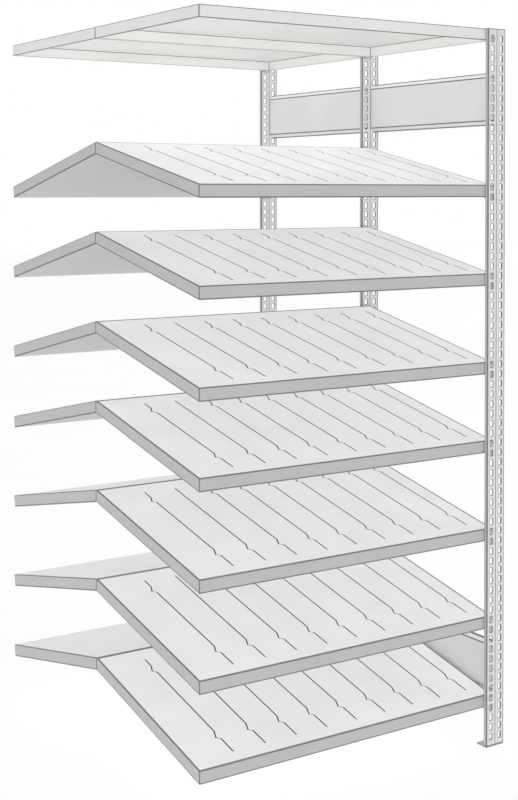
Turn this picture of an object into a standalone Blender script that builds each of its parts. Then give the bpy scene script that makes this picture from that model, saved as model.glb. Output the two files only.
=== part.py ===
"""Double-sided kanban shelving bay with sloping shelves.

The bay is the add-on kind. One frame of three posts stands at its right end,
and the left ends of the shelves are free, because the frame of the next bay
carries them there. Metres, +Z up, front towards -Y. The origin is on the floor
at the centre of the bay's plan.
"""

import math

import bmesh
import bpy
from mathutils import Vector

# Bay: one run of shelves before the middle post, one behind it
UNIT_HEIGHT = 2.100
BAY_WIDTH = 1.000
RUN_DEPTH = 0.600
RUN_COUNT = 2

# Clearance between pieces that touch, and how far a cutter runs past a face
SEAT_GAP = 0.0003
CUT_OVERRUN = 0.002

# Roll-formed posts, flange to the front, with its edges turned back
FLANGE_WIDTH = 0.068
FLANGE_SHEET = 0.002
RETURN_DEPTH = 0.012
SEAM_WIDTH = 0.0012
SLOT_PITCH = 0.02875
SLOT_END_MARGIN = 0.029375
SLOT_WIDTH = 0.011
SLOT_HEIGHT = 0.018
SLOT_ROW_OFFSET = 0.0168

# Feet
FOOT_SHEET = 0.003
FOOT_DEPTH = 0.042
FOOT_UPRIGHT_WIDTH = 0.018
FOOT_UPRIGHT_HEIGHT = 0.045

# Gap at the posts between the shelves of two neighbouring bays
BAY_GAP = 0.0036

# Shelves, bent from sheet
SHELF_SHEET = 0.001
SHELF_LIP = 0.036
COVER_LIP = 0.034
SHELF_TILT = math.radians(12.0)
SHELF_HEIGHT_SHARES = (0.845, 0.718, 0.592, 0.479, 0.352, 0.225, 0.113)
RIDGE_ABOVE_SLOT = 0.0155
DRAIN_SIZE = 0.008
DRAIN_SHARE = 0.25

# Divider slits in the front shelves
SLIT_COUNT = 9
SLIT_PITCH = 0.101
SLIT_FROM_FREE_END = 0.128
SLIT_WIDTH = 0.003
SLIT_FRONT_MARGIN = 0.042
SLIT_REAR_MARGIN = 0.058
KINK_SIDESTEP = 0.011
KINK_RAMP = 0.026
KINK_RETURN = 0.008
FRONT_KINK_FROM_FRONT = 0.104
REAR_KINK_FROM_REAR = 0.130
SLIT_WITHOUT_REAR_KINK = 1

# Shelf clips and the tabs that hook them into the slots
CLIP_SHEET = 0.002
CLIP_WIDTH = 0.024
CLIP_BEARING = 0.022
CLIP_MARGIN = 0.003
TAB_WIDTH = 0.0044
TAB_HEIGHT = 0.010
TAB_OFFSET = 0.003

# Side panels
PANEL_HEIGHT = 0.155
PANEL_SHEET = 0.0015
PANEL_STRIP = 0.014
PANEL_STRIP_SET_BACK = 0.010
PANEL_EAR_WIDTH = 0.028
PANEL_WELD_EAR_WIDTH = 0.0087
PANEL_HOOK_STEP = 2
TOP_PANEL_SHARE = 0.915
TOP_PANEL_DROP = 0.000125
BOTTOM_PANEL_SHARE = 0.099
BOTTOM_PANEL_DROP = 0.005625

# Paint and plating
SHELF_GREY = "#DEDFDD"
POST_GREY = "#D9DAD8"
PANEL_GREY = "#D6D7D6"
ZINC_GREY = "#B9BDC1"
PAINT_ROUGHNESS = 0.45
ZINC_ROUGHNESS = 0.35

# Places that follow from the sizes
FRAME_X = (BAY_WIDTH - FLANGE_WIDTH / 2) / 2
FREE_END_X = FRAME_X - BAY_WIDTH
FRONT_Y = -(RUN_COUNT * RUN_DEPTH + FOOT_DEPTH) / 2
MIDDLE_Y = FRONT_Y + RUN_DEPTH
REAR_Y = MIDDLE_Y + RUN_DEPTH
POST_BASE = FOOT_SHEET + SEAT_GAP
LAST_SLOT = round((UNIT_HEIGHT - 2 * SLOT_END_MARGIN) / SLOT_PITCH)
FIRST_SLOT_Z = (UNIT_HEIGHT - LAST_SLOT * SLOT_PITCH) / 2
HOOK_WIDTH = SLOT_WIDTH - 2 * SEAT_GAP
BEHIND_POST = RETURN_DEPTH + SEAT_GAP
BEFORE_POST = CLIP_SHEET + 2 * SEAT_GAP
SHELF_END_X = FRAME_X - BAY_GAP / 2
PANEL_X = FRAME_X + BAY_GAP / 2
RIDGE_Y = MIDDLE_Y - BEFORE_POST
SHELF_REAR_Y = REAR_Y - BEFORE_POST


def slot_z(index):
    """Height of a slot's centre."""
    return FIRST_SLOT_Z + index * SLOT_PITCH


def hook_z(index):
    """Height of the underside of a hook that rests in a slot."""
    return slot_z(index) - SLOT_HEIGHT / 2 + SEAT_GAP


def nearest_slot(height):
    """Number of the slot whose centre is nearest to a height."""
    index = round((height - FIRST_SLOT_Z) / SLOT_PITCH)
    return min(max(index, 0), LAST_SLOT)


def linear_colour(hex_code):
    """Turn an sRGB hex code to linear RGBA."""
    channels = [int(hex_code[i:i + 2], 16) / 255 for i in (1, 3, 5)]
    return [((c + 0.055) / 1.055) ** 2.4 if c > 0.04045 else c / 12.92 for c in channels] + [1.0]


def give_material(obj, hex_code, roughness, metallic):
    """Give an object a Principled material of its own."""
    material = bpy.data.materials.new(obj.name + "_finish")
    material.use_nodes = True
    shader = material.node_tree.nodes["Principled BSDF"]
    shader.inputs["Base Color"].default_value = linear_colour(hex_code)
    shader.inputs["Roughness"].default_value = roughness
    shader.inputs["Metallic"].default_value = metallic
    obj.data.materials.append(material)


def add_object(name, bm):
    """Put a mesh into the scene under a name."""
    bmesh.ops.recalc_face_normals(bm, faces=bm.faces)
    mesh = bpy.data.meshes.new(name)
    bm.to_mesh(mesh)
    bm.free()
    obj = bpy.data.objects.new(name, mesh)
    bpy.context.scene.collection.objects.link(obj)
    return obj


def add_painted(name, bm, hex_code):
    """Add a painted steel piece."""
    obj = add_object(name, bm)
    give_material(obj, hex_code, PAINT_ROUGHNESS, 0.0)
    return obj


def combine(obj, name, bm, operation):
    """Cut or join an object with a helper shape that isn't part of the model."""
    helper = add_object(f"{obj.name}_{name}", bm)
    helper.hide_render = True
    helper.display_type = "WIRE"
    modifier = obj.modifiers.new(name, "BOOLEAN")
    modifier.operation = operation
    modifier.solver = "EXACT"
    modifier.object = helper


def prism(bm, outline, sweep):
    """Extrude a closed outline of 3-D points along a vector."""
    face = bm.faces.new([bm.verts.new(point) for point in outline])
    result = bmesh.ops.extrude_face_region(bm, geom=[face])
    verts = [v for v in result["geom"] if isinstance(v, bmesh.types.BMVert)]
    bmesh.ops.translate(bm, vec=Vector(sweep), verts=verts)


def block(bm, low, high):
    """Add a box between two corners."""
    outline = [(low[0], low[1], low[2]), (high[0], low[1], low[2]),
               (high[0], high[1], low[2]), (low[0], high[1], low[2])]
    prism(bm, outline, (0, 0, high[2] - low[2]))


def join_rings(bm, first, second):
    """Bridge two rings of as many vertices with quads."""
    for i in range(len(first)):
        j = (i + 1) % len(first)
        bm.faces.new((first[i], first[j], second[j], second[i]))


# Posts

def post_outline(face_y):
    """Section seen from above: flange, two returns and the seam's groove."""
    half = FLANGE_WIDTH / 2
    groove = SEAM_WIDTH / 2
    inner = half - FLANGE_SHEET
    points = [(-half, 0), (-groove, 0), (0, groove), (groove, 0), (half, 0),
              (half, RETURN_DEPTH), (inner, RETURN_DEPTH), (inner, FLANGE_SHEET),
              (-inner, FLANGE_SHEET), (-inner, RETURN_DEPTH), (-half, RETURN_DEPTH)]
    return [(FRAME_X + x, face_y + y, POST_BASE) for x, y in points]


def make_post(name, face_y):
    """Make a post with two rows of slots in its flange."""
    bm = bmesh.new()
    prism(bm, post_outline(face_y), (0, 0, UNIT_HEIGHT - POST_BASE))
    post = add_painted(name, bm, POST_GREY)
    cuts = bmesh.new()
    for slot_x in (FRAME_X - SLOT_ROW_OFFSET, FRAME_X + SLOT_ROW_OFFSET):
        for index in range(LAST_SLOT + 1):
            middle = slot_z(index)
            block(cuts, (slot_x - SLOT_WIDTH / 2, face_y - CUT_OVERRUN, middle - SLOT_HEIGHT / 2),
                  (slot_x + SLOT_WIDTH / 2, face_y + FLANGE_SHEET + CUT_OVERRUN,
                   middle + SLOT_HEIGHT / 2))
    combine(post, "slots", cuts, "DIFFERENCE")


# Feet

def make_foot(name, face_y):
    """Make a foot: a plate under the post and an upright against its flange's back."""
    half = FLANGE_WIDTH / 2
    bm = bmesh.new()
    block(bm, (FRAME_X - half, face_y, 0), (FRAME_X + half, face_y + FOOT_DEPTH, FOOT_SHEET))
    foot = add_painted(name, bm, POST_GREY)
    upright_y = face_y + FLANGE_SHEET + SEAT_GAP
    upright = bmesh.new()
    block(upright, (FRAME_X - FOOT_UPRIGHT_WIDTH / 2, upright_y, FOOT_SHEET / 2),
          (FRAME_X + FOOT_UPRIGHT_WIDTH / 2, upright_y + FOOT_SHEET, FOOT_UPRIGHT_HEIGHT))
    combine(foot, "upright", upright, "UNION")


# Shelves

class Slope:
    """Top plane of a shelf: level across the bay, falling away from the ridge in depth."""

    def __init__(self, top, fall):
        self.top = top
        self.fall = fall

    def z(self, y, depth):
        """Height at a distance under the top plane."""
        return self.top - self.fall * abs(y - RIDGE_Y) - depth


def inset(outline, distance):
    """Move the sides of an outline with square corners inwards."""
    moved = []
    count = len(outline)
    for i, (x, y) in enumerate(outline):
        before, after = outline[i - 1], outline[(i + 1) % count]
        shift = Vector((0.0, 0.0))
        for start, end in ((before, (x, y)), ((x, y), after)):
            run = Vector((end[0] - start[0], end[1] - start[1])).normalized()
            shift += Vector((-run.y, run.x)) * distance
        moved.append((x + shift.x, y + shift.y))
    return moved


def add_ring(bm, outline, slope, depth, lean):
    """Add an outline's vertices at a depth under a shelf's top.

    The rear end of a sloping rear shelf leans: the deeper a point, the nearer the ridge.
    """
    verts = []
    for x, y in outline:
        if y > SHELF_REAR_Y - 2 * SHELF_SHEET:
            y -= lean * depth
        verts.append(bm.verts.new((x, y, slope.z(y, depth))))
    return verts


def slab(outline, slope, top_depth, bottom_depth):
    """Fill the space between two depths under a sloping shelf's top."""
    bm = bmesh.new()
    lean = math.sin(SHELF_TILT)
    top = add_ring(bm, outline, slope, top_depth, lean)
    bottom = add_ring(bm, outline, slope, bottom_depth, lean)
    bm.faces.new(top)
    join_rings(bm, top, bottom)
    bm.faces.new(bottom)
    return bm


def front_outline():
    """Plan of a front shelf: behind the front post, up to the clip on the middle post."""
    low_y = FRONT_Y + BEHIND_POST
    return [(FREE_END_X, low_y), (SHELF_END_X, low_y),
            (SHELF_END_X, RIDGE_Y), (FREE_END_X, RIDGE_Y)]


def rear_outline():
    """Plan of a rear shelf, with a corner cut away round the middle post's flange."""
    low_y = RIDGE_Y + 2 * SEAT_GAP
    notch_x = FRAME_X - FLANGE_WIDTH / 2 - SEAT_GAP
    notch_y = MIDDLE_Y + BEHIND_POST
    return [(FREE_END_X, low_y), (notch_x, low_y), (notch_x, notch_y),
            (SHELF_END_X, notch_y), (SHELF_END_X, SHELF_REAR_Y), (FREE_END_X, SHELF_REAR_Y)]


def slit_path(x, has_rear_kink):
    """Centre line of a divider slit: straight, with a barbed kink near each end."""
    kinks = [FRONT_Y + BEHIND_POST + FRONT_KINK_FROM_FRONT]
    if has_rear_kink:
        kinks.append(RIDGE_Y - REAR_KINK_FROM_REAR)
    path = [(x, FRONT_Y + BEHIND_POST + SLIT_FRONT_MARGIN)]
    for kink_y in kinks:
        path.append((x, kink_y))
        path.append((x - KINK_SIDESTEP, kink_y + KINK_RETURN))
        path.append((x, kink_y + KINK_RETURN + KINK_RAMP))
    path.append((x, RIDGE_Y - SLIT_REAR_MARGIN))
    return path


def slit_cuts(slope):
    """Shapes that cut the divider slits and end inside the hollow shelf."""
    bm = bmesh.new()
    depth = SHELF_LIP / 2
    for number in range(SLIT_COUNT):
        x = FREE_END_X + SLIT_FROM_FREE_END + number * SLIT_PITCH
        path = slit_path(x, number != SLIT_WITHOUT_REAR_KINK)
        left = [(px - SLIT_WIDTH / 2, py, slope.z(py, depth)) for px, py in path]
        right = [(px + SLIT_WIDTH / 2, py, slope.z(py, depth)) for px, py in reversed(path)]
        prism(bm, left + right, (0, 0, depth + CUT_OVERRUN))
    return bm


def drain_cuts(outline, slope):
    """Shapes that cut two drain holes in the end wall beside the posts."""
    bm = bmesh.new()
    wall_ys = [y for x, y in outline if x == SHELF_END_X]
    step = DRAIN_SHARE * (max(wall_ys) - min(wall_ys))
    for y in (min(wall_ys) + step, max(wall_ys) - step):
        z = slope.z(y, SHELF_LIP / 2)
        block(bm, (SHELF_END_X - SHELF_SHEET - CUT_OVERRUN, y - DRAIN_SIZE / 2, z - DRAIN_SIZE / 2),
              (SHELF_END_X + CUT_OVERRUN, y + DRAIN_SIZE / 2, z + DRAIN_SIZE / 2))
    return bm


def make_kanban_shelf(name, outline, slope, has_slits):
    """Make a sloping shelf: a flat box of bent sheet, welded up and closed below."""
    shelf = add_painted(name, slab(outline, slope, 0.0, SHELF_LIP), SHELF_GREY)
    hollow = slab(inset(outline, SHELF_SHEET), slope, SHELF_SHEET, SHELF_LIP - SHELF_SHEET)
    combine(shelf, "hollow", hollow, "DIFFERENCE")
    combine(shelf, "drains", drain_cuts(outline, slope), "DIFFERENCE")
    if has_slits:
        combine(shelf, "slits", slit_cuts(slope), "DIFFERENCE")


def make_cover(name, outline, slope):
    """Make a level cover shelf: a sheet with lips that hang from its edges."""
    bm = bmesh.new()
    inner_outline = inset(outline, SHELF_SHEET)
    outer_top = add_ring(bm, outline, slope, 0.0, 0.0)
    outer_rim = add_ring(bm, outline, slope, COVER_LIP, 0.0)
    inner_rim = add_ring(bm, inner_outline, slope, COVER_LIP, 0.0)
    inner_top = add_ring(bm, inner_outline, slope, SHELF_SHEET, 0.0)
    bm.faces.new(outer_top)
    join_rings(bm, outer_top, outer_rim)
    join_rings(bm, outer_rim, inner_rim)
    join_rings(bm, inner_rim, inner_top)
    bm.faces.new(inner_top)
    add_painted(name, bm, SHELF_GREY)


# Clips

def make_clip(name, face_y, behind, slope, lip):
    """Make a clip that hooks into a slot and carries a shelf on its ledge.

    A clip behind a flange reaches to the rear, one before it to the front. Their tabs
    take the two halves of a slot, so that both fit into the same one.
    """
    reach = 1 if behind else -1
    flange_side = face_y + FLANGE_SHEET if behind else face_y
    plate_y = flange_side + reach * SEAT_GAP
    ledge_root = plate_y + reach * CLIP_SHEET
    lip_y = face_y + (BEHIND_POST if behind else -BEFORE_POST)
    ledge_end = lip_y + reach * CLIP_BEARING

    def under(y):
        return slope.z(y, lip + SEAT_GAP)

    tab_low = hook_z(nearest_slot(slope.z(lip_y, lip / 2)))
    plate_top = max(tab_low + TAB_HEIGHT, under(lip_y)) + CLIP_MARGIN
    plate_bottom = min(tab_low, under(plate_y) - CLIP_SHEET) - CLIP_MARGIN
    profile = [(plate_y, plate_bottom), (ledge_root, plate_bottom),
               (ledge_root, under(ledge_root) - CLIP_SHEET),
               (ledge_end, under(ledge_end) - CLIP_SHEET), (ledge_end, under(ledge_end)),
               (ledge_root, under(ledge_root)), (ledge_root, plate_top), (plate_y, plate_top)]
    slot_x = FRAME_X - SLOT_ROW_OFFSET
    bm = bmesh.new()
    prism(bm, [(slot_x - CLIP_WIDTH / 2, y, z) for y, z in profile], (CLIP_WIDTH, 0, 0))
    clip = add_object(name, bm)
    give_material(clip, ZINC_GREY, ZINC_ROUGHNESS, 1.0)
    tab_x = slot_x + reach * TAB_OFFSET
    near_y, far_y = sorted((plate_y + reach * CLIP_SHEET / 2, flange_side - reach * FLANGE_SHEET))
    tab = bmesh.new()
    block(tab, (tab_x - TAB_WIDTH / 2, near_y, tab_low),
          (tab_x + TAB_WIDTH / 2, far_y, tab_low + TAB_HEIGHT))
    combine(clip, "tab", tab, "UNION")


# Side panels

def make_panel(name, face_y, centre, slots):
    """Make a side panel with its long edges bent back.

    A narrow ear at its front end lies against the back of a post's flange. The wide ear
    at its rear end hooks into the next post's flange.
    """
    back_x = PANEL_X + PANEL_STRIP_SET_BACK
    edge = PANEL_HEIGHT / 2
    bend = edge - PANEL_STRIP
    face = [(back_x, edge), (PANEL_X, bend), (PANEL_X, -bend), (back_x, -edge)]
    back = [(x + PANEL_SHEET, z) for x, z in reversed(face)]
    start_y = face_y + FLANGE_SHEET + SEAT_GAP
    end_y = face_y + RUN_DEPTH - SEAT_GAP
    bm = bmesh.new()
    prism(bm, [(x, start_y, centre + z) for x, z in face + back],
          (0, end_y - start_y - PANEL_SHEET / 2, 0))
    panel = add_painted(name, bm, PANEL_GREY)
    ears = bmesh.new()
    block(ears, (PANEL_X, start_y, centre - bend),
          (PANEL_X + PANEL_WELD_EAR_WIDTH, start_y + PANEL_SHEET, centre + bend))
    block(ears, (PANEL_X, end_y - PANEL_SHEET, centre - bend),
          (PANEL_X + PANEL_EAR_WIDTH, end_y, centre + bend))
    combine(panel, "ears", ears, "UNION")
    hooks = bmesh.new()
    slot_x = FRAME_X + SLOT_ROW_OFFSET
    for slot in slots:
        block(hooks, (slot_x - HOOK_WIDTH / 2, end_y - PANEL_SHEET / 2, hook_z(slot)),
              (slot_x + HOOK_WIDTH / 2, face_y + RUN_DEPTH + FLANGE_SHEET,
               hook_z(slot) + TAB_HEIGHT))
    combine(panel, "hooks", hooks, "UNION")


# The whole bay

def panel_place(height_share, drop):
    """Height of a panel's centre, and the two slots that its hooks go into."""
    middle = round(height_share * LAST_SLOT)
    slots = (middle - PANEL_HOOK_STEP // 2, middle + PANEL_HOOK_STEP // 2)
    return slot_z(middle) - drop, slots


def make_bay():
    """Make the posts with their feet, the panels, and the shelves with their clips."""
    panels = (("top",) + panel_place(TOP_PANEL_SHARE, TOP_PANEL_DROP),
              ("bottom",) + panel_place(BOTTOM_PANEL_SHARE, BOTTOM_PANEL_DROP))
    for place, face_y in (("front", FRONT_Y), ("middle", MIDDLE_Y), ("rear", REAR_Y)):
        make_post("post_" + place, face_y)
        make_foot("foot_" + place, face_y)
    for level, centre, slots in panels:
        make_panel(f"panel_{level}_front", FRONT_Y, centre, slots)
        make_panel(f"panel_{level}_rear", MIDDLE_Y, centre, slots)

    cover_slope = Slope(UNIT_HEIGHT, 0.0)
    make_cover("cover_front", front_outline(), cover_slope)
    make_cover("cover_rear", rear_outline(), cover_slope)
    levels = [("cover", cover_slope, COVER_LIP)]
    for number, share in enumerate(SHELF_HEIGHT_SHARES, start=1):
        ridge_z = slot_z(round(share * LAST_SLOT)) + RIDGE_ABOVE_SLOT
        slope = Slope(ridge_z, math.tan(SHELF_TILT))
        make_kanban_shelf(f"shelf_front_{number}", front_outline(), slope, True)
        make_kanban_shelf(f"shelf_rear_{number}", rear_outline(), slope, False)
        levels.append((number, slope, SHELF_LIP))
    for level, slope, lip in levels:
        make_clip(f"clip_front_post_{level}", FRONT_Y, True, slope, lip)
        make_clip(f"clip_middle_post_front_{level}", MIDDLE_Y, False, slope, lip)
        make_clip(f"clip_middle_post_rear_{level}", MIDDLE_Y, True, slope, lip)
        make_clip(f"clip_rear_post_{level}", REAR_Y, False, slope, lip)


for old_object in list(bpy.data.objects):
    bpy.data.objects.remove(old_object)
make_bay()
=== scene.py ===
"""Add-on kanban shelving bay dressed for a studio picture. Metres, +Z up, front towards -Y."""

import math

import bmesh
import bpy
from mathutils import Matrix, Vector


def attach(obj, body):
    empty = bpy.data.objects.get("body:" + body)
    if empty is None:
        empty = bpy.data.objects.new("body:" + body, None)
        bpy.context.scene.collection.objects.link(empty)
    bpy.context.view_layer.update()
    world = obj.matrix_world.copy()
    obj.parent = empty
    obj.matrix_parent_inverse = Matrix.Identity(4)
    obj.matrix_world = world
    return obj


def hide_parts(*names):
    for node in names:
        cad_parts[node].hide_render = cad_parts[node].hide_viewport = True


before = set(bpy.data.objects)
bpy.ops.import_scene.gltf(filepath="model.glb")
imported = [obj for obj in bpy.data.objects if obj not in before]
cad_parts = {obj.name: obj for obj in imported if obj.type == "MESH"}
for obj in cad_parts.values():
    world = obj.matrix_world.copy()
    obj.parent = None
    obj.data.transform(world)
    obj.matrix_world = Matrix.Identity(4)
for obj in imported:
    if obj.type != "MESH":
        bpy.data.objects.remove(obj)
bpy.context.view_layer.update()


# Posts. Each is rolled from 2 mm steel strip, with two columns of punched slots, a seam pressed
# down its middle and both edges turned back and in. The frame is powder coated pale grey. Dark
# painted shade lines draw the bends, the sawn ends and the rims round the slots, and the turned
# edges are painted darker as painted shade.

def linear(code, share=1.0):
    """Turn an sRGB hex code to the linear colour a shader takes, scaled by a share."""
    channels = [int(code[i:i + 2], 16) / 255 for i in (1, 3, 5)]
    toned = [c / 12.92 if c <= 0.04045 else ((c + 0.055) / 1.055) ** 2.4 for c in channels]
    return [min(c * share, 1.0) for c in toned] + [1.0]


def add_node(material, kind, settings=None, **inputs):
    """Add a node with its settings, and feed its inputs with values or other nodes' outputs."""
    tree = material.node_tree
    made = tree.nodes.new("ShaderNode" + kind)
    for name, value in (settings or {}).items():
        setattr(made, name, value)
    for name, value in inputs.items():
        socket = made.inputs[name.replace("_", " ")]
        if isinstance(value, bpy.types.NodeSocket):
            tree.links.new(value, socket)
        else:
            socket.default_value = value
    return made


def drive(material, **inputs):
    """Feed the Principled shader's inputs with values or nodes' outputs."""
    shader = material.node_tree.nodes["Principled BSDF"]
    for name, value in inputs.items():
        socket = shader.inputs[name.replace("_", " ")]
        if isinstance(value, bpy.types.NodeSocket):
            material.node_tree.links.new(value, socket)
        else:
            socket.default_value = value


def tone_ramp(material, factor, code, low_share, high_share):
    """A ramp between a darker and a lighter tone of one colour."""
    ramp = add_node(material, "ValToRGB", Fac=factor)
    ramp.color_ramp.elements[0].position = 0.3
    ramp.color_ramp.elements[0].color = linear(code, low_share)
    ramp.color_ramp.elements[1].position = 0.7
    ramp.color_ramp.elements[1].color = linear(code, high_share)
    return ramp.outputs["Color"]


def powder_coat(name, code):
    """Powder coat: clouds of tone and gloss about 150 mm wide, and orange peel.

    Real orange peel is 2 to 3 mm wide. It is drawn about 5 mm wide, so that it survives at
    this picture's scale.
    """
    material = bpy.data.materials.new(name)
    material.use_nodes = True
    place = add_node(material, "TexCoord").outputs["Object"]
    clouds = add_node(material, "TexNoise", Vector=place, Scale=6.5, Detail=4.0).outputs["Fac"]
    peel = add_node(material, "TexNoise", Vector=place, Scale=210.0, Detail=2.0).outputs["Fac"]
    gloss = add_node(material, "MapRange", Value=clouds, To_Min=0.38, To_Max=0.56)
    bump = add_node(material, "Bump", Height=peel, Strength=0.12, Distance=0.0008)
    drive(material, Base_Color=tone_ramp(material, clouds, code, 0.965, 1.02),
          Roughness=gloss.outputs["Result"], Normal=bump.outputs["Normal"])
    return material


def activate(obj):
    """Make one object the only selected one."""
    bpy.ops.object.select_all(action="DESELECT")
    obj.select_set(True)
    bpy.context.view_layer.objects.active = obj


def box(name, low, high, *materials):
    """Add a box between two corners, with its place in its mesh."""
    bpy.ops.object.select_all(action="DESELECT")
    low, high = Vector(low), Vector(high)
    bpy.ops.mesh.primitive_cube_add(size=1, location=(low + high) / 2)
    made = bpy.context.object
    made.name = made.data.name = name
    made.scale = high - low
    bpy.ops.object.transform_apply(location=True, rotation=True, scale=True)
    for material in materials:
        made.data.materials.append(material)
    return made


def edit(obj):
    """Open an object for editing, alone."""
    activate(obj)
    bpy.ops.object.mode_set(mode="EDIT")


def close():
    """Leave edit mode."""
    bpy.ops.object.mode_set(mode="OBJECT")


def pick(kind, test):
    """Select the VERTs, EDGEs or FACEs whose middle and direction pass a test."""
    bpy.ops.mesh.select_mode(type=kind)
    bpy.ops.mesh.select_all(action="DESELECT")
    mesh = bmesh.from_edit_mesh(bpy.context.object.data)
    parts = {"VERT": mesh.verts, "EDGE": mesh.edges, "FACE": mesh.faces}[kind]
    for part in parts:
        if kind == "VERT":
            middle, way = part.co, part.normal
        elif kind == "EDGE":
            start, end = [vert.co for vert in part.verts]
            middle, way = (start + end) / 2, (end - start).normalized()
        else:
            middle, way = part.calc_center_median(), part.normal
        if test(middle, way):
            part.select_set(True)
    mesh.select_flush_mode()
    bmesh.update_edit_mesh(bpy.context.object.data)


def move(x, y, z):
    """Move what is selected."""
    bpy.ops.transform.translate(value=(x, y, z))


def extrude(x, y, z):
    """Extrude what is selected and move the new end."""
    bpy.ops.mesh.extrude_region_move(TRANSFORM_OT_translate={"value": (x, y, z)})


def paint(slot, test):
    """Give the faces that pass a test another of the object's materials."""
    pick("FACE", test)
    bpy.context.object.active_material_index = slot
    bpy.ops.object.material_slot_assign()


def bend(radius, segments=3, material=1):
    """Round the selected edges. The new faces take a material, mostly that of the folds."""
    bpy.ops.mesh.bevel(offset=radius, segments=segments, affect="EDGES", material=material)


def apply(obj, kind, **settings):
    """Add a modifier with its settings and apply it."""
    activate(obj)
    modifier = obj.modifiers.new(kind, kind)
    for name, value in settings.items():
        setattr(modifier, name, value)
    bpy.ops.object.modifier_apply(modifier=modifier.name)


def join(first, *others):
    """Join objects into the first."""
    activate(first)
    for other in others:
        other.select_set(True)
    if others:
        bpy.ops.object.join()
    return first


def cut(obj, *cutters):
    """Cut shapes out of an object. The cut faces take the cutter's material."""
    tool = join(*cutters)
    apply(obj, "BOOLEAN", operation="DIFFERENCE", solver="EXACT", object=tool,
          material_mode="TRANSFER")
    bpy.data.objects.remove(tool)


def copy(obj, name, x=0.0, y=0.0, z=0.0):
    """Copy an object with a mesh of its own and move the copy."""
    activate(obj)
    bpy.ops.object.duplicate()
    made = bpy.context.object
    made.name = made.data.name = name
    made.location = (x, y, z)
    bpy.ops.object.transform_apply(location=True, rotation=True, scale=True)
    return made


def finish_piece(obj, slot, *nodes):
    """Smooth the bends, keep the flats flat, and put the piece in place of its CAD nodes."""
    activate(obj)
    bpy.ops.object.shade_smooth_by_angle(angle=SMOOTH_ANGLE)
    apply(obj, "WEIGHTED_NORMAL", keep_sharp=True)
    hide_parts(*nodes)
    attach(obj, "root")


SMOOTH_ANGLE = math.radians(40)
# A direction whose share along an axis is above this runs along that axis
ALONG = 0.9
# Places in a piece's list of materials: its broad faces, its folds and rims in dark painted shade
# lines, its sides in painted shade
MAIN_COAT, EDGE_SHADE_COAT, SIDE_SHADE_COAT = range(3)
POST_GREY = "#DEDEDE"
POST_SIDE_SHADE_GREY = "#BDBDBD"
POST_EDGE_SHADE_GREY = "#747474"
POST_X = 0.483
POST_FACES = {"front": -0.621, "middle": -0.021, "rear": 0.579}
POST_LOW = 0.0033
POST_TOP = 2.1
HALF_FLANGE = 0.034
STRIP = 0.002
EDGE_TURN = 0.012
EDGE_LIP = 0.0045
HALF_SEAM = 0.0012
ROLL_RADIUS = 0.0024
THIN_BAND = 0.004
SAWN_END = 0.0025
SLOT_WIDTH = 0.011
SLOT_HEIGHT = 0.018
SLOT_CORNER = 0.0035
SLOT_COLUMN = 0.0168
SLOT_PITCH = 0.02875
FIRST_SLOT = 0.029375
SLOT_COUNT = 72
SLOT_RIM = 0.0016
RIM_DEPTH = 0.0003
OVERRUN = 0.003

# Post paint: pale and neutral, for the broad flange faces
post_paint = powder_coat("post_powder_coat", POST_GREY)
# Painted shade lines: dark paint on rolled bends, sawn ends and punched rims, which draws each as
# a fine line
post_edge_shade = powder_coat("post_bends_painted_shade", POST_EDGE_SHADE_GREY)
# Side paint: painted shade, the post's grey darkened on the turned edges, so they read as a darker
# strip
post_side_shade = powder_coat("post_side_shade_coat", POST_SIDE_SHADE_GREY)


def slot_height(number):
    """Height of the lower edge of a slot, counted from the floor."""
    return FIRST_SLOT + number * SLOT_PITCH - SLOT_HEIGHT / 2


def sheet(name, low, high, *materials):
    """Add a flat sheet between two corners that share an x. It faces +X."""
    bpy.ops.object.select_all(action="DESELECT")
    low, high = Vector(low), Vector(high)
    bpy.ops.mesh.primitive_plane_add(size=1, location=(low + high) / 2,
                                     rotation=(0, math.radians(90), 0))
    made = bpy.context.object
    made.name = made.data.name = name
    made.scale = (high.z - low.z, high.y - low.y, 1)
    bpy.ops.object.transform_apply(location=True, rotation=True, scale=True)
    for material in materials:
        made.data.materials.append(material)
    return made


def slot_punches(middle, face):
    """A column of punches with rounded corners. Their roots are wider and press the rims."""
    low, high = slot_height(0), slot_height(0) + SLOT_HEIGHT
    punch = box("slots", (middle - SLOT_WIDTH / 2, face + RIM_DEPTH, low),
                (middle + SLOT_WIDTH / 2, face + 2 * OVERRUN, high), post_edge_shade)
    edit(punch)
    pick("EDGE", lambda p, way: abs(way.y) > ALONG)
    bend(SLOT_CORNER, 4, MAIN_COAT)
    pick("FACE", lambda p, way: way.y < -ALONG)
    extrude(0, -2 * RIM_DEPTH, 0)
    # Two rims wider each way at its end, so one rim wider half way, where it meets the face
    wider, higher = 1 + 4 * SLOT_RIM / SLOT_WIDTH, 1 + 4 * SLOT_RIM / SLOT_HEIGHT
    bpy.ops.transform.resize(value=(wider, 1, higher))
    close()
    apply(punch, "ARRAY", count=SLOT_COUNT, use_relative_offset=False, use_constant_offset=True,
          constant_offset_displace=(0, 0, SLOT_PITCH))
    return punch


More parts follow.
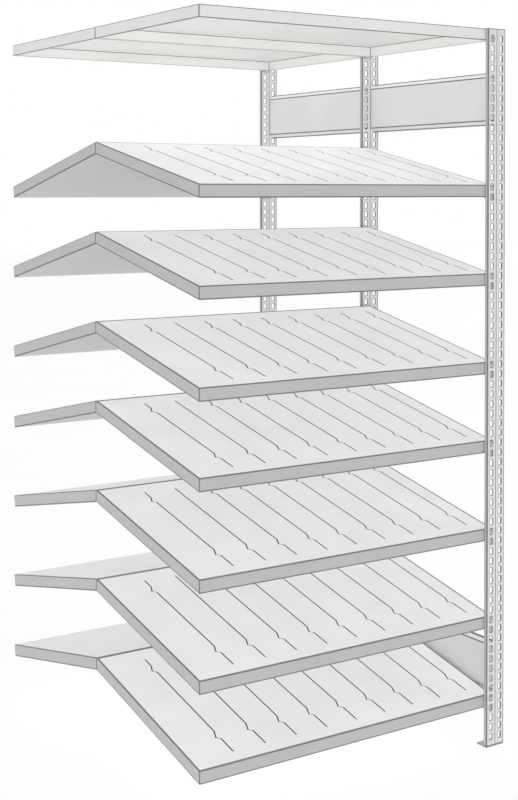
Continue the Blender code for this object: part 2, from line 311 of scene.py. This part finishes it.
face = POST_FACES["front"]
front_post = sheet("rolled_post_front", (POST_X - HALF_FLANGE, face, POST_LOW),
                   (POST_X - HALF_FLANGE, face + EDGE_TURN, POST_TOP),
                   post_paint, post_edge_shade, post_side_shade)
edit(front_post)
pick("EDGE", lambda p, way: abs(way.z) > ALONG and p.y > face + STRIP)
extrude(EDGE_LIP, 0, 0)
pick("EDGE", lambda p, way: abs(way.z) > ALONG and p.y < face + STRIP)
flat = HALF_FLANGE - HALF_SEAM - THIN_BAND
for across, deeper in ((THIN_BAND, 0), (flat, 0), (HALF_SEAM, HALF_SEAM), (HALF_SEAM, -HALF_SEAM),
                       (flat, 0), (THIN_BAND, 0), (0, EDGE_TURN), (-EDGE_LIP, 0)):
    extrude(across, deeper, 0)
for height in (POST_LOW + SAWN_END, POST_TOP - SAWN_END):
    bpy.ops.mesh.select_all(action="SELECT")
    bpy.ops.mesh.bisect(plane_co=(0, 0, height), plane_no=(0, 0, 1))
# The seam, the bands by the turned edges and the sawn ends take the dark painted shade lines
paint(EDGE_SHADE_COAT, lambda p, way: not HALF_SEAM < abs(p.x - POST_X) < HALF_FLANGE - THIN_BAND)
# Faces that point sideways, the turned edges, take the painted shade
paint(SIDE_SHADE_COAT, lambda p, way: abs(way.x) > ALONG)
paint(EDGE_SHADE_COAT, lambda p, way: not POST_LOW + SAWN_END < p.z < POST_TOP - SAWN_END)
pick("EDGE", lambda p, way: abs(way.z) > ALONG and abs(p.x - POST_X) > HALF_FLANGE - STRIP / 2)
bend(ROLL_RADIUS)
close()
apply(front_post, "SOLIDIFY", thickness=STRIP, offset=1, use_even_offset=True)
# The slot walls and pressed rims take the punches' painted shade lines
cut(front_post, slot_punches(POST_X - SLOT_COLUMN, face), slot_punches(POST_X + SLOT_COLUMN, face))

posts = {"front": front_post}
for place in ("middle", "rear"):
    posts[place] = copy(front_post, "rolled_post_" + place, y=POST_FACES[place] - face)
for place, made in posts.items():
    finish_piece(made, "post_paint", "post_" + place)


# Feet. A plate of 3 mm steel under each post, with an upright welded on that stands against
# the back of the flange. Powder coated like the posts, and scuffed darker near the floor.

FOOT_PLATE = 0.003
FOOT_DEPTH = 0.042
FOOT_CORNER = 0.004
UPRIGHT_WIDTH = 0.018
UPRIGHT_TOP = 0.045
UPRIGHT_CORNER = 0.006
PLATE_EDGE = 0.0005
BEHIND_STRIP = 0.0023
WELD_BEAD = 0.003
WELD_RADIUS = 0.0024
FOOT_GREY = "#A2A2A2"

# Foot paint: scuffed and dusty, so the plate shows as a dark sliver beside the post
foot_paint = powder_coat("scuffed_foot_coat", FOOT_GREY)
# Weld bead: the same coat over a ripple about 4 mm long, drawn by waves in the bump
weld_paint = powder_coat("painted_weld_bead", FOOT_GREY)
weld_place = add_node(weld_paint, "TexCoord").outputs["Object"]
ripple = add_node(weld_paint, "TexWave", {"bands_direction": "X"}, Vector=weld_place, Scale=80.0,
                  Distortion=1.5).outputs["Fac"]
weld_bump = add_node(weld_paint, "Bump", Height=ripple, Strength=0.6, Distance=0.001)
drive(weld_paint, Normal=weld_bump.outputs["Normal"])

plate = box("bent_foot_front", (POST_X - HALF_FLANGE, face, 0),
            (POST_X + HALF_FLANGE, face + FOOT_DEPTH, FOOT_PLATE), foot_paint, post_edge_shade)
edit(plate)
# The plate's and the upright's rounded corners and edges take the post's painted shade lines
pick("EDGE", lambda p, way: abs(way.z) > ALONG)
bend(FOOT_CORNER, 4)
pick("EDGE", lambda p, way: abs(way.z) < ALONG and p.z > FOOT_PLATE / 2)
bend(PLATE_EDGE, 1)
close()
upright_left, upright_right = POST_X - UPRIGHT_WIDTH / 2, POST_X + UPRIGHT_WIDTH / 2
upright_back = face + BEHIND_STRIP + FOOT_PLATE
upright = box("upright", (upright_left, face + BEHIND_STRIP, FOOT_PLATE / 2),
              (upright_right, upright_back, UPRIGHT_TOP), foot_paint, post_edge_shade)
edit(upright)
pick("EDGE", lambda p, way: abs(way.y) > ALONG and p.z > FOOT_PLATE)
bend(UPRIGHT_CORNER, 5)
close()
bead = box("bead", (upright_left, upright_back - WELD_BEAD / 2, FOOT_PLATE / 2),
           (upright_right, upright_back + WELD_BEAD, FOOT_PLATE + WELD_BEAD), weld_paint)
edit(bead)
pick("EDGE", lambda p, way: abs(way.x) > ALONG and p.y > upright_back and p.z > FOOT_PLATE)
bend(WELD_RADIUS, 4, MAIN_COAT)
close()
front_foot = join(plate, upright, bead)
feet = {"front": front_foot}
for place in ("middle", "rear"):
    feet[place] = copy(front_foot, "bent_foot_" + place, y=POST_FACES[place] - face)
for place, made in feet.items():
    finish_piece(made, "post_paint", "foot_" + place)


# Cover shelves. Each is one 1 mm sheet with its four lips folded down and their ends turned
# in, open below and level. The rear one has a corner cut out round the middle post. Powder
# coated a little lighter than the rest, so the lips and the underside read alike from below.

COVER_GREY = "#E6E6E4"
SHEET_EDGE_SHADE_GREY = "#747474"
SHEET = 0.001
FOLD_RADIUS = 0.0024
FOLD_ANGLE = math.radians(30)
COVER_LIP = 0.034
COVER_HEM = 0.005
SHELF_LEFT = -0.517
SHELF_RIGHT = 0.4812
SHELF_FRONT = -0.6087
RIDGE = -0.0236
REAR_NEAR = -0.023
REAR_FAR = 0.5764
NOTCH_LEFT = 0.4487
NOTCH_FAR = -0.0087
NOTCH_ABOVE = 0.034
NOTCH_BELOW = 0.102

# Cover paint, for the tops and lips of both covers
cover_paint = powder_coat("cover_powder_coat", COVER_GREY)
# Painted shade lines: dark paint on the folds, which draws the sheet's outline
sheet_edge_shade = powder_coat("fold_painted_shade", SHEET_EDGE_SHADE_GREY)


def notch(top):
    """A shape that cuts the corner out of a rear shelf, round the middle post's flange."""
    return box("notch", (NOTCH_LEFT, REAR_NEAR - OVERRUN, top - NOTCH_BELOW),
               (SHELF_RIGHT + OVERRUN, NOTCH_FAR, top + NOTCH_ABOVE), sheet_edge_shade)


def fold_edges(obj):
    """Round every folded edge of a sheet piece."""
    # The rounded folds take the painted shade lines
    apply(obj, "BEVEL", width=FOLD_RADIUS, segments=3, limit_method="ANGLE",
          angle_limit=FOLD_ANGLE, material=EDGE_SHADE_COAT)


for name, near, far in (("front", SHELF_FRONT, RIDGE), ("rear", REAR_NEAR, REAR_FAR)):
    cover = box("folded_cover_" + name, (SHELF_LEFT, near, POST_TOP - COVER_LIP),
                (SHELF_RIGHT, far, POST_TOP), cover_paint, sheet_edge_shade)
    if name == "rear":
        cut(cover, notch(POST_TOP))
    edit(cover)
    pick("FACE", lambda p, way: way.z < -ALONG)
    bpy.ops.mesh.inset(thickness=COVER_HEM)
    bpy.ops.mesh.delete(type="FACE")
    close()
    fold_edges(cover)
    apply(cover, "SOLIDIFY", thickness=SHEET, offset=-1, use_even_offset=True)
    finish_piece(cover, "shelf_paint", "cover_" + name)


# Sloping shelves. Each is a folded and spot-welded box of 1 mm sheet, closed and flat below,
# and slopes 12 degrees to its outer side. The front ones have nine slits with barbed kinks
# for dividers. Tops are pale, and lips and undersides are painted darker as painted shade.

TOP_GREY = "#E3E3E3"
LIP_SHADE_GREY = "#BCBCBC"
INSIDE_SHADE_GREY = "#303030"
# Two more places in a sloping shelf's list of materials
LIP_SHADE_COAT, INSIDE_SHADE_COAT = 2, 3
TOP_BAND = 0.0044
BOTTOM_BAND = 0.0042
WIDER_BAND = 0.004
SHELF_DEPTH = 0.036
SLOPE = math.radians(12)
FALL = math.tan(SLOPE)
FAR_LEAN = math.sin(SLOPE)
# A face that points up by more than this share is a top
FLATTISH = 0.5
RUN = 0.6
RIDGE_HEIGHTS = (1.769875, 1.511125, 1.252375, 1.022375, 0.763625, 0.504875, 0.274875)
SLIT_WIDTH = 0.003
SLIT_RIM = 0.0006
SAME_POINT = 0.00001
FIRST_SLIT = -0.389
SLIT_STEP = 0.101
SLIT_COUNT = 9
SLIT_WITHOUT_KINK = 1
SLIT_START = -0.5667
KINK = ((-0.011, 0.008), (0.011, 0.026))
SLIT_RUNS = (0.062, 0.3171, 0.038)
SLIT_RUN_WITHOUT_KINK = 0.3891
DRAIN = 0.008
DRAIN_SHARE = 0.25

# Top sheets, the palest faces of the bay
top_paint = powder_coat("shelf_top_powder_coat", TOP_GREY)
# Lips and undersides: painted shade, the shelf paint darkened on every face that doesn't point up
lip_painted_shade = powder_coat("shelf_lip_painted_shade", LIP_SHADE_GREY)
# Inside of the boxes: painted shade, dark grey where the shadowless lamps cast no shade into the
# closed boxes, so the slits show as lines
inside_painted_shade = powder_coat("shelf_inside_painted_shade", INSIDE_SHADE_GREY)


def top_at(ridge, y):
    """Height of a shelf's top at a place in its depth."""
    return ridge - FALL * abs(y - RIDGE)


def slit_cutter(ridge, x, has_rear_kink, depth=SHELF_DEPTH / 3, rim=0.0):
    """A shape that cuts one slit through the top sheet, following its kinks.

    Shallow and wider by a rim all round, it presses the slit's edge instead.
    """
    first, middle, last = SLIT_RUNS[0] + rim, SLIT_RUNS[1], SLIT_RUNS[2] + rim
    steps = [(0, first), *KINK, (0, middle), *KINK, (0, last)]
    if not has_rear_kink:
        steps = [(0, first), *KINK, (0, SLIT_RUN_WITHOUT_KINK + rim)]
    near, half = SLIT_START - rim, SLIT_WIDTH / 2 + rim
    start = top_at(ridge, near)
    blade = box("slit", (x - half, near, start - depth),
                (x + half, near + first, start + SHELF_DEPTH / 3), sheet_edge_shade)
    edit(blade)
    pick("FACE", lambda p, way: way.y > ALONG)
    move(0, 0, FALL * first)
    for across, along in steps[1:]:
        extrude(across, along, FALL * along)
    bpy.ops.mesh.select_all(action="SELECT")
    bpy.ops.mesh.normals_make_consistent(inside=False)
    close()
    return blade


def drain_cutters(ridge, near, far):
    """Two square holes in the end wall beside the posts, for paint to drain."""
    for y in (near + DRAIN_SHARE * (far - near), far - DRAIN_SHARE * (far - near)):
        z = top_at(ridge, y) - SHELF_DEPTH / 2
        yield box("drain", (SHELF_RIGHT - OVERRUN, y - DRAIN / 2, z - DRAIN / 2),
                  (SHELF_RIGHT + OVERRUN, y + DRAIN / 2, z + DRAIN / 2), sheet_edge_shade)


def shelf_box(name, ridge, near, far, lean=0.0):
    """A closed box whose top falls away from the ridge. Its far lip leans in by a share.

    The box is first made down to its bottom band, which is then added below it.
    """
    upper = SHELF_DEPTH - BOTTOM_BAND
    made = box(name, (SHELF_LEFT, near, ridge - upper), (SHELF_RIGHT, far, ridge),
               top_paint, sheet_edge_shade, lip_painted_shade, inside_painted_shade)
    edit(made)
    pick("VERT", lambda p, way: p.y < near + SHEET)
    move(0, 0, top_at(ridge, near) - ridge)
    pick("VERT", lambda p, way: p.y > far - SHEET)
    move(0, 0, top_at(ridge, far) - ridge)
    pick("VERT", lambda p, way: p.y > far - SHEET and p.z < top_at(ridge, far) - SHEET)
    move(0, -lean * upper, 0)
    # Faces that don't point up take the painted shade of the lips and undersides
    paint(LIP_SHADE_COAT, lambda p, way: way.z < FLATTISH)
    pick("FACE", lambda p, way: way.z < -ALONG)
    extrude(0, 0, -BOTTOM_BAND)
    pick("VERT", lambda p, way: p.y > near + RUN / 2 and p.z < top_at(ridge, far) - upper - SHEET)
    move(0, -lean * BOTTOM_BAND, 0)
    # The top and the bottom band take the painted shade lines; hollow gives the top's middle its
    # own paint back
    paint(EDGE_SHADE_COAT, lambda p, way: (way.z > FLATTISH
                                     or (p.z < top_at(ridge, p.y) - upper and way.z > -ALONG)))
    close()
    return made


def hollow(obj, cutters, wider=0.0):
    """Frame the top with painted shade lines, round the folds, make the box hollow and cut its
    holes.

    The frame can be wider at the ridge and at the posts.
    """
    edit(obj)
    pick("FACE", lambda p, way: way.z > FLATTISH)
    bpy.ops.mesh.inset(thickness=TOP_BAND)
    obj.active_material_index = MAIN_COAT
    bpy.ops.object.material_slot_assign()
    if wider:
        pick("VERT", lambda p, way: TOP_BAND / 2 < RIDGE - p.y < 2 * TOP_BAND)
        move(0, -wider, -FALL * wider)
        pick("VERT", lambda p, way: TOP_BAND / 2 < SHELF_RIGHT - p.x < 2 * TOP_BAND)
        move(-wider, 0, 0)
    close()
    fold_edges(obj)
    # The inner faces take the painted shade of the box's inside
    apply(obj, "SOLIDIFY", thickness=SHEET, offset=-1, use_even_offset=True,
          material_offset=INSIDE_SHADE_COAT)
    cut(obj, *cutters)


highest = RIDGE_HEIGHTS[0]
front_shelf = shelf_box("welded_shelf_front_1", highest, SHELF_FRONT, RIDGE)
slit_places = [(FIRST_SLIT + number * SLIT_STEP, number != SLIT_WITHOUT_KINK)
               for number in range(SLIT_COUNT)]
slits = [slit_cutter(highest, *slit_place) for slit_place in slit_places]
hollow(front_shelf, [*slits, *drain_cutters(highest, SHELF_FRONT, RIDGE)], WIDER_BAND)
# Pressed rims round the slits take the painted shade lines
rims = [slit_cutter(highest, *slit_place, RIM_DEPTH, SLIT_RIM) for slit_place in slit_places]
cut(front_shelf, *rims)
edit(front_shelf)
bpy.ops.mesh.select_all(action="SELECT")
bpy.ops.mesh.remove_doubles(threshold=SAME_POINT)
close()

rear_shelf = shelf_box("welded_shelf_rear_1", highest, REAR_NEAR, REAR_FAR, FAR_LEAN)
cut(rear_shelf, notch(highest))
hollow(rear_shelf, drain_cutters(highest, NOTCH_FAR, REAR_FAR))

shelves = [(1, "front", front_shelf), (1, "rear", rear_shelf)]
for number, ridge in enumerate(RIDGE_HEIGHTS[1:], start=2):
    for side, model in (("front", front_shelf), ("rear", rear_shelf)):
        made = copy(model, f"welded_shelf_{side}_{number}", z=ridge - highest)
        shelves.append((number, side, made))
for number, side, made in shelves:
    finish_piece(made, "shelf_paint", f"shelf_{side}_{number}")


# Side panels. 1.5 mm sheet whose long edges are bent back and turned in. A narrow ear at its
# front end is spot-welded behind a post's flange, and a wide one at its rear end hooks into
# the next post's flange. Powder coated.

PANEL_GREY = "#E0E0E0"
PANEL_X = 0.4848
PANEL_SHEET = 0.0015
PANEL_BEND = 0.0635
PANEL_RADIUS = 0.002
PANEL_STRIP = 0.014
STRIP_BACK = 0.010
STRIP_HEM = 0.004
PANEL_BAND = 0.0035
NEAR_EAR = 0.0087
FAR_EAR = 0.028
PANEL_FAR = 0.5997
PANEL_CENTRES = {"top": 1.898, "bottom": 0.225}
HOOK_WIDTH = 0.0104
HOOK_HEIGHT = 0.010
HOOK_EDGE = 0.0008
HOOK_LIFT = 0.0003
HOOK_SLOTS = {"top": (64, 66), "bottom": (6, 8)}

# Panel paint, between the posts' tone and the lips'
panel_paint = powder_coat("panel_powder_coat", PANEL_GREY)


def panel(name, face, centre, slots):
    """A panel bent from a flat sheet, with an ear at each end and two hooks."""
    near, far = face + BEHIND_STRIP, face + PANEL_FAR
    made = sheet(name, (PANEL_X, near, centre - PANEL_BEND), (PANEL_X, far, centre + PANEL_BEND),
                 panel_paint, sheet_edge_shade)
    edit(made)
    pick("EDGE", lambda p, way: p.y < near + SHEET)
    extrude(NEAR_EAR, 0, 0)
    pick("EDGE", lambda p, way: p.y > far - SHEET)
    extrude(FAR_EAR, 0, 0)
    for side in (1, -1):
        pick("EDGE", lambda p, way: abs(way.y) > ALONG and (p.z - centre) * side > PANEL_BEND / 2)
        extrude(STRIP_BACK, 0, side * PANEL_STRIP)
        extrude(STRIP_HEM, 0, 0)
    pick("EDGE", lambda p, way: (p.x < PANEL_X + STRIP_BACK + SHEET
                                 and ((abs(way.y) > ALONG and abs(p.z - centre) > PANEL_BEND / 2)
                                      or (abs(way.z) > ALONG and p.x < PANEL_X + SHEET))))
    # The bends, and a band along each strip's outer edge below, take the painted shade lines
    bend(PANEL_RADIUS)
    for side in (1, -1):
        bpy.ops.mesh.select_all(action="SELECT")
        band = centre + side * (PANEL_BEND + PANEL_STRIP - PANEL_BAND)
        bpy.ops.mesh.bisect(plane_co=(0, 0, band), plane_no=(0, 0, 1))
        paint(EDGE_SHADE_COAT, lambda p, way: (p.z - band) * side > 0)
    close()
    apply(made, "SOLIDIFY", thickness=PANEL_SHEET, offset=1, use_even_offset=True)
    hooks = []
    for slot in slots:
        low = slot_height(slot) + HOOK_LIFT
        slot_x = POST_X + SLOT_COLUMN
        hook = box("hook", (slot_x - HOOK_WIDTH / 2, far - PANEL_SHEET / 2, low),
                   (slot_x + HOOK_WIDTH / 2, face + RUN + STRIP, low + HOOK_HEIGHT),
                   panel_paint, sheet_edge_shade)
        edit(hook)
        bpy.ops.mesh.select_all(action="SELECT")
        # The hooks' rounded edges take the painted shade lines
        bend(HOOK_EDGE, 2)
        close()
        hooks.append(hook)
    return join(made, *hooks)


for level, slots in HOOK_SLOTS.items():
    front_panel = panel(f"bent_panel_{level}_front", POST_FACES["front"], PANEL_CENTRES[level],
                        slots)
    rear_panel = copy(front_panel, f"bent_panel_{level}_rear", y=RUN)
    finish_piece(front_panel, "panel_paint", f"panel_{level}_front")
    finish_piece(rear_panel, "panel_paint", f"panel_{level}_rear")


# Clips. 2 mm steel, zinc plated and left bare. Each hooks into one slot of a post, and its
# ledge carries a shelf's end. Two clips share each slot of the middle post, side by side.

ZINC = "#D2D3D4"
CLIP_SHEET = 0.002
CLIP_WIDTH = 0.024
CLIP_BEARING = 0.022
CLIP_MARGIN = 0.003
CLIP_GAP = 0.0003
CLIP_CORNER = 0.003
TAB_WIDTH = 0.0044
TAB_HEIGHT = 0.010
TAB_OFFSET = 0.003
TAB_EDGE = 0.0008
BEHIND_FLANGE = 0.0123
BEFORE_FLANGE = 0.0026

# Zinc plate: grains about 4 mm wide with their own tone and gloss, and a fine roughness.
# Real grains are 1 to 2 mm wide. They are drawn coarser, so that they show in this picture.
zinc = bpy.data.materials.new("zinc_plate")
zinc.use_nodes = True
zinc_place = add_node(zinc, "TexCoord").outputs["Object"]
grains = add_node(zinc, "TexVoronoi", Vector=zinc_place, Scale=240.0).outputs["Color"]
grain_tone = add_node(zinc, "RGBToBW", Color=grains).outputs["Val"]
roughness = add_node(zinc, "TexNoise", Vector=zinc_place, Scale=900.0, Detail=3.0).outputs["Fac"]
zinc_bump = add_node(zinc, "Bump", Height=roughness, Strength=0.2, Distance=0.0003)
zinc_gloss = add_node(zinc, "MapRange", Value=grain_tone, To_Min=0.40, To_Max=0.60)
drive(zinc, Base_Color=tone_ramp(zinc, grain_tone, ZINC, 0.88, 1.06), Metallic=1.0,
      Roughness=zinc_gloss.outputs["Result"], Normal=zinc_bump.outputs["Normal"])


def clip(name, face, behind, ridge, fall, lip):
    """A clip behind a flange reaches to the rear, one before it to the front."""
    reach = 1 if behind else -1
    flange_side = face + STRIP if behind else face
    plate_y = flange_side + reach * CLIP_GAP
    root = plate_y + reach * CLIP_SHEET
    lip_y = face + (BEHIND_FLANGE if behind else -BEFORE_FLANGE)
    end = lip_y + reach * CLIP_BEARING

    def under(y):
        """Height of the ledge's top, just under the shelf."""
        return ridge - fall * abs(y - RIDGE) - lip - CLIP_GAP

    number = min(round((under(lip_y) + lip / 2 - FIRST_SLOT) / SLOT_PITCH), SLOT_COUNT - 1)
    tab_low = slot_height(number) + HOOK_LIFT
    top = max(tab_low + TAB_HEIGHT, under(lip_y)) + CLIP_MARGIN
    bottom = min(tab_low, under(plate_y) - CLIP_SHEET) - CLIP_MARGIN
    left = POST_X - SLOT_COLUMN - CLIP_WIDTH / 2
    right = left + CLIP_WIDTH

    made = box(name, (left, min(plate_y, root), bottom), (right, max(plate_y, root), top), zinc)
    edit(made)
    pick("EDGE", lambda p, way: abs(way.y) > ALONG)
    bend(CLIP_CORNER, 4, MAIN_COAT)
    close()
    ledge_near, ledge_far = sorted((plate_y + reach * CLIP_SHEET / 2, end))
    ledge = box("ledge", (left, ledge_near, under(end) - CLIP_SHEET),
                (right, ledge_far, under(end)), zinc)
    edit(ledge)
    pick("VERT", lambda p, way: abs(p.y - end) > CLIP_BEARING / 2)
    move(0, 0, under(plate_y) - under(end))
    pick("EDGE", lambda p, way: abs(way.z) > ALONG and abs(p.y - end) < CLIP_SHEET)
    bend(CLIP_CORNER, 4, MAIN_COAT)
    close()
    tab_x = POST_X - SLOT_COLUMN + reach * TAB_OFFSET
    near, far = sorted((plate_y + reach * CLIP_SHEET / 2, flange_side - reach * STRIP))
    tab = box("tab", (tab_x - TAB_WIDTH / 2, near, tab_low),
              (tab_x + TAB_WIDTH / 2, far, tab_low + TAB_HEIGHT), zinc)
    edit(tab)
    pick("EDGE", lambda p, way: abs(way.x) > ALONG)
    bend(TAB_EDGE, 2, MAIN_COAT)
    close()
    return join(made, ledge, tab)


seats = (("front_post", "front", True), ("middle_post_front", "middle", False),
         ("middle_post_rear", "middle", True), ("rear_post", "rear", False))
for seat, place, behind in seats:
    face = POST_FACES[place]
    cover_clip = clip(f"zinc_clip_{seat}_cover", face, behind, POST_TOP, 0.0, COVER_LIP)
    model = clip(f"zinc_clip_{seat}_1", face, behind, highest, FALL, SHELF_DEPTH)
    clips = {"cover": cover_clip, 1: model}
    for number, ridge in enumerate(RIDGE_HEIGHTS[1:], start=2):
        clips[number] = copy(model, f"zinc_clip_{seat}_{number}", z=ridge - highest)
    for level, made in clips.items():
        finish_piece(made, "clip_zinc", f"clip_{seat}_{level}")


# The studio: a white floor under an even sky, four soft fill lamps that cast no shadow, and the
# camera at eye height at the front left, where the shelves' free ends are, tilted 1 degree down.

FLOOR_SIZE = 60.0
FLOOR_TOP = -0.0008
FLOOR_BOTTOM = -0.0108
FLOOR_WHITE = "#FAFAFA"
SKY_STRENGTH = 0.47
LAMP_SPREAD = math.radians(20)
LAMPS = (("fill_above", (0, 0, -1), 1.7), ("fill_front", (0.88, 0.97, -0.1), 1.0),
         ("fill_below", (0.1, 0.1, 1), 0.15), ("fill_back", (-1, -0.8, -0.1), 0.5))
PHOTO_HEIGHT = 800
FOCAL_PIXELS = 1373.6
AXIS_FROM_TOP = 216.5
SENSOR_HEIGHT = 36.0
CAMERA_PLACE = (-2.2860, -3.5978, 1.6235)
CAMERA_TILT = math.radians(89)
CAMERA_TURN = math.radians(-33.12)

floor = box("studio_floor", (-FLOOR_SIZE / 2, -FLOOR_SIZE / 2, FLOOR_BOTTOM),
            (FLOOR_SIZE / 2, FLOOR_SIZE / 2, FLOOR_TOP))
# Studio floor: smooth matt paint with faint clouds about 600 mm wide
floor_paint = bpy.data.materials.new("studio_floor_paint")
floor_paint.use_nodes = True
floor_place = add_node(floor_paint, "TexCoord").outputs["Object"]
floor_clouds = add_node(floor_paint, "TexNoise", Vector=floor_place, Scale=1.7,
                        Detail=3.0).outputs["Fac"]
drive(floor_paint, Base_Color=tone_ramp(floor_paint, floor_clouds, FLOOR_WHITE, 0.985, 1.0),
      Roughness=0.8)
floor.data.materials.append(floor_paint)

# The sky lights the bay with half the strength that it shows, so the backdrop is plain white
world = bpy.data.worlds.new("studio_sky")
bpy.context.scene.world = world
world.use_nodes = True
sky = world.node_tree
light = sky.nodes["Background"]
light.inputs["Color"].default_value = (1, 1, 1, 1)
light.inputs["Strength"].default_value = SKY_STRENGTH
backdrop = sky.nodes.new("ShaderNodeBackground")
backdrop.inputs["Color"].default_value = (1, 1, 1, 1)
backdrop.inputs["Strength"].default_value = 1.0
seen = sky.nodes.new("ShaderNodeLightPath")
mix = sky.nodes.new("ShaderNodeMixShader")
sky.links.new(seen.outputs["Is Camera Ray"], mix.inputs["Fac"])
sky.links.new(light.outputs["Background"], mix.inputs[1])
sky.links.new(backdrop.outputs["Background"], mix.inputs[2])
sky.links.new(mix.outputs["Shader"], sky.nodes["World Output"].inputs["Surface"])

# Fill lamps, from above, from the front left, from below and from the back
for name, aim, strength in LAMPS:
    lamp = bpy.data.lights.new(name, "SUN")
    lamp.energy = strength
    lamp.angle = LAMP_SPREAD
    lamp.use_shadow = False
    holder = bpy.data.objects.new(name, lamp)
    bpy.context.scene.collection.objects.link(holder)
    holder.rotation_euler = Vector(aim).to_track_quat("-Z", "Y").to_euler()

eye = bpy.data.cameras.new("camera")
eye.sensor_fit = "VERTICAL"
eye.sensor_height = SENSOR_HEIGHT
eye.lens = SENSOR_HEIGHT * FOCAL_PIXELS / PHOTO_HEIGHT
eye.shift_y = (AXIS_FROM_TOP - PHOTO_HEIGHT / 2) / PHOTO_HEIGHT
camera = bpy.data.objects.new("camera", eye)
bpy.context.scene.collection.objects.link(camera)
camera.location = CAMERA_PLACE
camera.rotation_euler = (CAMERA_TILT, 0, CAMERA_TURN)
bpy.context.scene.camera = camera
bpy.context.scene.view_settings.view_transform = "Standard"

bpy.context.view_layer.update()
